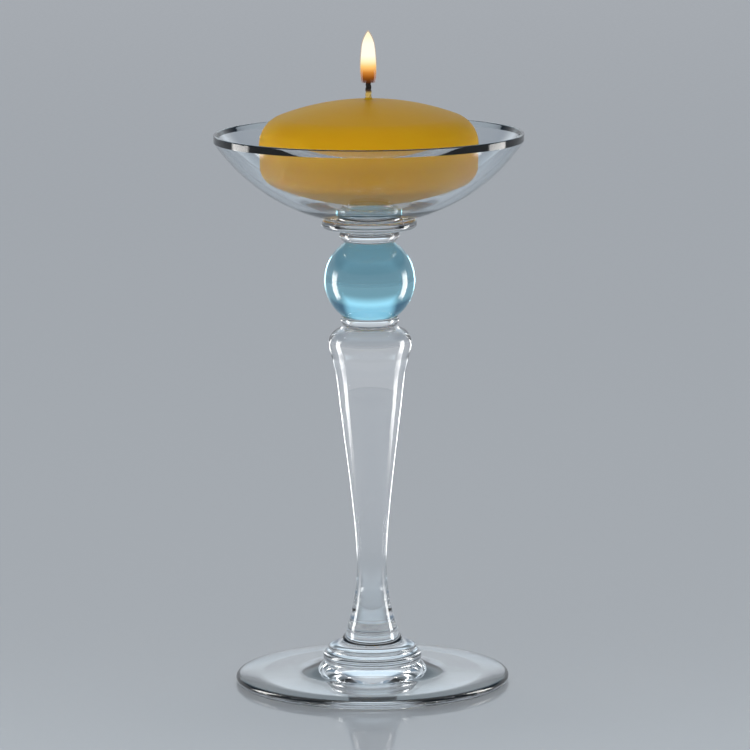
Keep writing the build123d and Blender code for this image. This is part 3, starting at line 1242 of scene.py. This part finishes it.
@dataclass
class Studio:
    """The pale floor, the soft lights, the surroundings and the camera."""

    floor_radius: float = 9.0
    floor_gap: float = 0.1 * MM
    floor_colour: Colour = (0.60, 0.61, 0.62)
    haze_scale: float = 30.0
    haze_low: float = 0.07
    haze_high: float = 0.11
    lamp_peak: float = 1.5
    lamp_edge: float = 0.5
    lamp_fade_start: float = 0.25
    light_bounces: int = 32
    camera_distance: float = 1.631
    camera_height: float = 0.371
    camera_aside: float = 1.6 * MM
    camera_pitch: float = math.radians(9.14)
    camera_roll: float = math.radians(-0.39)
    sensor: float = 36.0
    focal_length: float = 227.28
    camera_reach: float = 50.0

    def build(self, mottle: NodeTree) -> None:
        """Builds the whole studio.

        Args:
            mottle: The shared mottle effect.
        """
        self.floor(mottle)
        self.surroundings()
        for lamp in self.lamps():
            self.softbox(lamp)
        self.camera()
        self.settings()

    def lamps(self) -> list[Lamp]:
        """The lamps: one overhead, a wide one in front, a panel behind, and a narrow one on each side.

        Returns:
            The lamps.
        """
        neutral, cool = (1.0, 0.99, 0.97), (0.80, 0.93, 1.0)
        return [
            Lamp("softbox_top", Role.LIGHT, (0.0, 0.30, 1.25), (0.9, 0.7), 2.2, neutral),
            Lamp("softbox_front", Role.LIGHT, (-0.5, -2.2, 0.45), (1.8, 1.0), 28.5, neutral),
            Lamp("panel_back", Role.PANEL, (0.0, 1.45, 0.98), (2.2, 1.5), 5.5, cool),
            Lamp("strip_left", Role.GLINT, (-0.20, 0.03, 0.10), (0.085, 0.20), 0.42, neutral),
            Lamp("strip_right", Role.GLINT, (0.20, 0.03, 0.10), (0.085, 0.20), 0.42, neutral),
        ]

    def floor(self, mottle: NodeTree) -> None:
        """Builds the pale, glossy floor."""
        mesh = bmesh.new()
        bmesh.ops.create_circle(mesh, cap_ends=True, segments=AROUND, radius=self.floor_radius)
        bmesh.ops.translate(mesh, verts=mesh.verts, vec=(0, 0, -self.floor_gap))
        data = bpy.data.meshes.new("studio_floor")
        mesh.to_mesh(data)
        mesh.free()
        floor = add_object("studio_floor", data)
        paint = Paint("studio_floor").set(Base_Color=(*self.floor_colour, 1.0))
        haze = paint.effect(mottle, Scale=self.haze_scale)
        stops = [(GRAIN_DARK, grey(self.haze_low)), (GRAIN_PALE, grey(self.haze_high))]
        paint.feed(paint.ramp(haze.outputs["Grain"], stops), "Roughness")
        data.materials.append(paint.material)

    def surroundings(self) -> None:
        """Lays a tent of soft light round the object: pale low down, darker above that, bright overhead."""
        world = bpy.data.worlds.new("light_tent")
        bpy.context.scene.world = world
        world.use_nodes = True
        nodes, links = world.node_tree.nodes, world.node_tree.links
        place = nodes.new("ShaderNodeTexCoord")
        split = nodes.new("ShaderNodeSeparateXYZ")
        ramp = nodes.new("ShaderNodeValToRGB")
        low, mist = (0.48, 0.50, 0.53), (0.48, 0.51, 0.55)
        dark, overhead = (0.12, 0.18, 0.25), (0.50, 0.53, 0.56)
        stops = [(0.0, low), (0.28, mist), (0.38, dark), (0.60, dark), (0.82, overhead)]
        fill_ramp(ramp.color_ramp, stops)
        links.new(place.outputs["Generated"], split.inputs["Vector"])
        links.new(split.outputs["Z"], ramp.inputs["Fac"])
        links.new(ramp.outputs["Color"], nodes["Background"].inputs["Color"])

    def softbox(self, lamp: Lamp) -> None:
        """Hangs a rectangular lamp that faces the middle of the object.

        Lights shine on every surface, through the clear glass too, and aren't mirrored. Panels are seen in
        whatever is shiny, and glints in the glass pieces alone.

        Args:
            lamp: The lamp to hang.
        """
        data = bpy.data.lights.new(lamp.name, "AREA")
        data.shape = "RECTANGLE"
        data.size, data.size_y = lamp.size
        data.energy = lamp.power
        data.color = lamp.colour
        self.soften(data)
        hung = add_object(lamp.name, data)
        middle = sum(CAD_BOX, Vector()) / 2
        hung.location = lamp.place
        hung.rotation_euler = (middle - Vector(lamp.place)).to_track_quat("-Z", "Y").to_euler()
        hung.visible_camera = False
        hung.visible_diffuse = lamp.role is Role.LIGHT
        hung.visible_glossy = lamp.role is not Role.LIGHT
        hung.visible_transmission = lamp.role is not Role.LIGHT
        if lamp.role is Role.LIGHT:
            hung.light_linking.blocker_collection = Group.SOLID.collection()
        if lamp.role is Role.GLINT:
            hung.light_linking.receiver_collection = Group.GLASS.collection()

    def soften(self, data: AreaLight) -> None:
        """Lets a lamp fade towards its edges, as the cloth of a softbox does.

        A lamp's own coordinates run from 0 to 1, so its edge lies half a unit from its middle.

        Args:
            data: The lamp.
        """
        data.use_nodes = True
        nodes, links = data.node_tree.nodes, data.node_tree.links
        place = nodes.new("ShaderNodeNewGeometry")
        middle = nodes.new("ShaderNodeVectorMath")
        middle.operation = "SUBTRACT"
        middle.inputs[1].default_value = (self.lamp_edge, self.lamp_edge, 0.0)
        away = nodes.new("ShaderNodeVectorMath")
        away.operation = "ABSOLUTE"
        split = nodes.new("ShaderNodeSeparateXYZ")
        edge = nodes.new("ShaderNodeMath")
        edge.operation = "MAXIMUM"
        fade = nodes.new("ShaderNodeMapRange")
        fade.interpolation_type = "SMOOTHSTEP"
        fade.inputs["From Min"].default_value = self.lamp_edge
        fade.inputs["From Max"].default_value = self.lamp_fade_start
        fade.inputs["To Max"].default_value = self.lamp_peak
        links.new(place.outputs["Parametric"], middle.inputs[0])
        links.new(middle.outputs["Vector"], away.inputs[0])
        links.new(away.outputs["Vector"], split.inputs["Vector"])
        links.new(split.outputs["X"], edge.inputs[0])
        links.new(split.outputs["Y"], edge.inputs[1])
        links.new(edge.outputs["Value"], fade.inputs["Value"])
        links.new(fade.outputs["Result"], nodes["Emission"].inputs["Strength"])

    def camera(self) -> None:
        """Sets the camera at the photograph's viewing angle."""
        data = bpy.data.cameras.new("camera")
        data.sensor_width = self.sensor
        data.lens = self.focal_length
        data.clip_end = self.camera_reach
        camera = add_object("camera", data)
        place = Matrix.Translation((self.camera_aside, -self.camera_distance, self.camera_height))
        pitch = Matrix.Rotation(math.pi / 2 - self.camera_pitch, 4, "X")
        roll = Matrix.Rotation(self.camera_roll, 4, "Z")
        camera.matrix_world = place @ pitch @ roll
        bpy.context.scene.camera = camera

    def settings(self) -> None:
        """Sets the view transform and lets light pass through the whole stack of glass."""
        scene = bpy.context.scene
        scene.view_settings.view_transform = "Standard"
        scene.cycles.max_bounces = self.light_bounces
        scene.cycles.transmission_bounces = self.light_bounces
        scene.cycles.transparent_max_bounces = self.light_bounces


def main() -> None:
    """Builds the stand, the candle and the studio."""
    logging.basicConfig(level=logging.INFO, format="%(message)s")
    mottle = mottle_effect()
    works = GlassWorks(
        clear=GlassFinish("clear_glass", (0.955, 0.975, 0.99)).make(mottle),
        aqua=GlassFinish("ball_glass", (0.34, 0.68, 0.80)).make(mottle),
        joint=FusedJointFinish().make(),
    )
    seat = Foot().build(works)
    seat = Stem().build(works, seat)
    seat = Knop().build(works, seat)
    Bowl().build(works, seat)
    Candle().build(mottle)
    Flame().build()
    Studio().build(mottle)
    bpy.context.view_layer.update()


if __name__ == "__main__":
    main()
